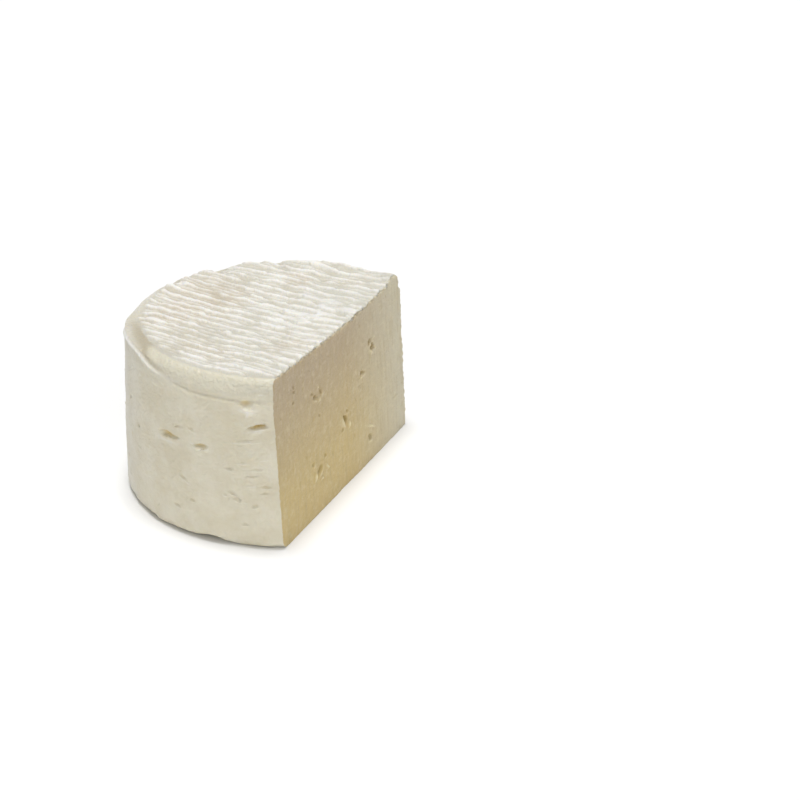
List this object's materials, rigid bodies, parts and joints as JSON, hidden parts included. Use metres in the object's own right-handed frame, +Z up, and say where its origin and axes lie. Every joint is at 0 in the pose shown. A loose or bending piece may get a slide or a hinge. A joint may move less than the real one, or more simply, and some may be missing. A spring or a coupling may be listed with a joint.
{
  "type": "queso fresco",
  "caption": "Small wheel of fresh white cheese with mat ridges on its dished top, sliced straight down so that a flat cut face shows; it rests on its base.",
  "frame": {"origin": "on the axis of the moulded wheel, in the flat base that it rests on", "axes": "+X out of the cut face, square to the chord that the knife left; +Y along that chord; +Z up, along the wheel's axis"},
  "size_m": [0.0853, 0.1219, 0.0669],
  "materials": {
    "fresh_cheese": "moist satin, pale ivory"
  },
  "bodies": {
    "root": {"cheese_wheel": "fresh_cheese"}
  },
  "joints": []
}
